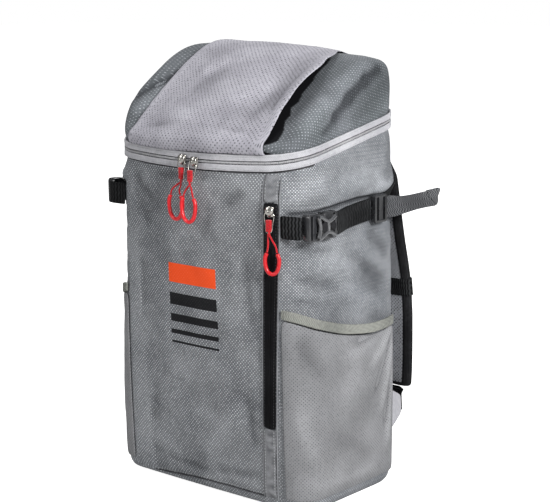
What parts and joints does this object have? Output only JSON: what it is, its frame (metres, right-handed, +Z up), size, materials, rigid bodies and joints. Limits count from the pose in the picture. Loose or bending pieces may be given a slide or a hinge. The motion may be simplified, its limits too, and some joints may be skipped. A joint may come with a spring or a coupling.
{
  "type": "cooler backpack",
  "caption": "Upright insulated backpack with a zipped dome lid under a stowage flap, a front-corner zip, mesh side pockets, compression straps and padded shoulder straps.",
  "frame": {"origin": "middle of the flat bottom, on the floor that the bag stands on", "axes": "+Z up, the front face looks along -Y, +X is the viewer's right seen from the front"},
  "size_m": [0.3185, 0.2739, 0.5025],
  "materials": {
    "grey_weave": "dotted woven polyester, matt",
    "lid_weave": "dotted woven polyester, matt",
    "flap_weave": "perforated woven polyester, matt",
    "grey_tape": "woven tape, matt",
    "black_zip": "coated zip tape, matt",
    "nickel": "polished nickel",
    "red_cord": "braided cord",
    "red_grip": "moulded, satin",
    "pocket_mesh": "perforated stretch mesh, matt",
    "hem_elastic": "ribbed elastic binding, matt",
    "black_webbing": "woven nylon webbing",
    "black_plastic": "moulded acetal, semi-gloss",
    "air_mesh": "padded air mesh, matt"
  },
  "bodies": {
    "root": {"body_shell": "grey_weave", "lid_shell": "lid_weave", "lid_flap": "flap_weave", "zip_tape_lower": "grey_tape", "zip_tape_upper": "grey_tape", "zip_coil": "grey_tape", "strip_lower": "grey_tape", "tab_upper": "grey_tape", "corner_zip": "black_zip", "slider_lid_left": "nickel", "slider_lid_right": "nickel", "slider_corner": "nickel", "wire_lid_left": "nickel", "wire_lid_right": "nickel", "wire_corner": "nickel", "cord_lid_left": "red_cord", "cord_lid_right": "red_cord", "cord_corner": "red_cord", "grip_lid_left": "red_grip", "grip_lid_right": "red_grip", "grip_corner": "red_grip", "pocket_right": "pocket_mesh", "pocket_left": "pocket_mesh", "pocket_hem_right": "hem_elastic", "pocket_hem_left": "hem_elastic", "strap_front_right": "black_webbing", "strap_front_left": "black_webbing", "strap_rear_right": "black_webbing", "strap_rear_left": "black_webbing", "strap_anchor_right": "black_webbing", "strap_anchor_left": "black_webbing", "strap_tail_right": "black_webbing", "strap_tail_left": "black_webbing", "buckle_socket_right": "black_plastic", "buckle_socket_left": "black_plastic", "buckle_prong_right": "black_plastic", "buckle_prong_left": "black_plastic", "ladder_lock_right": "black_plastic", "ladder_lock_left": "black_plastic", "back_pad": "air_mesh", "shoulder_strap_right": "air_mesh", "shoulder_strap_left": "air_mesh", "strap_band_right": "black_webbing", "strap_band_left": "black_webbing", "lower_web_right": "black_webbing", "lower_web_left": "black_webbing", "corner_tab_right": "grey_tape", "corner_tab_left": "grey_tape"}
  },
  "joints": []
}
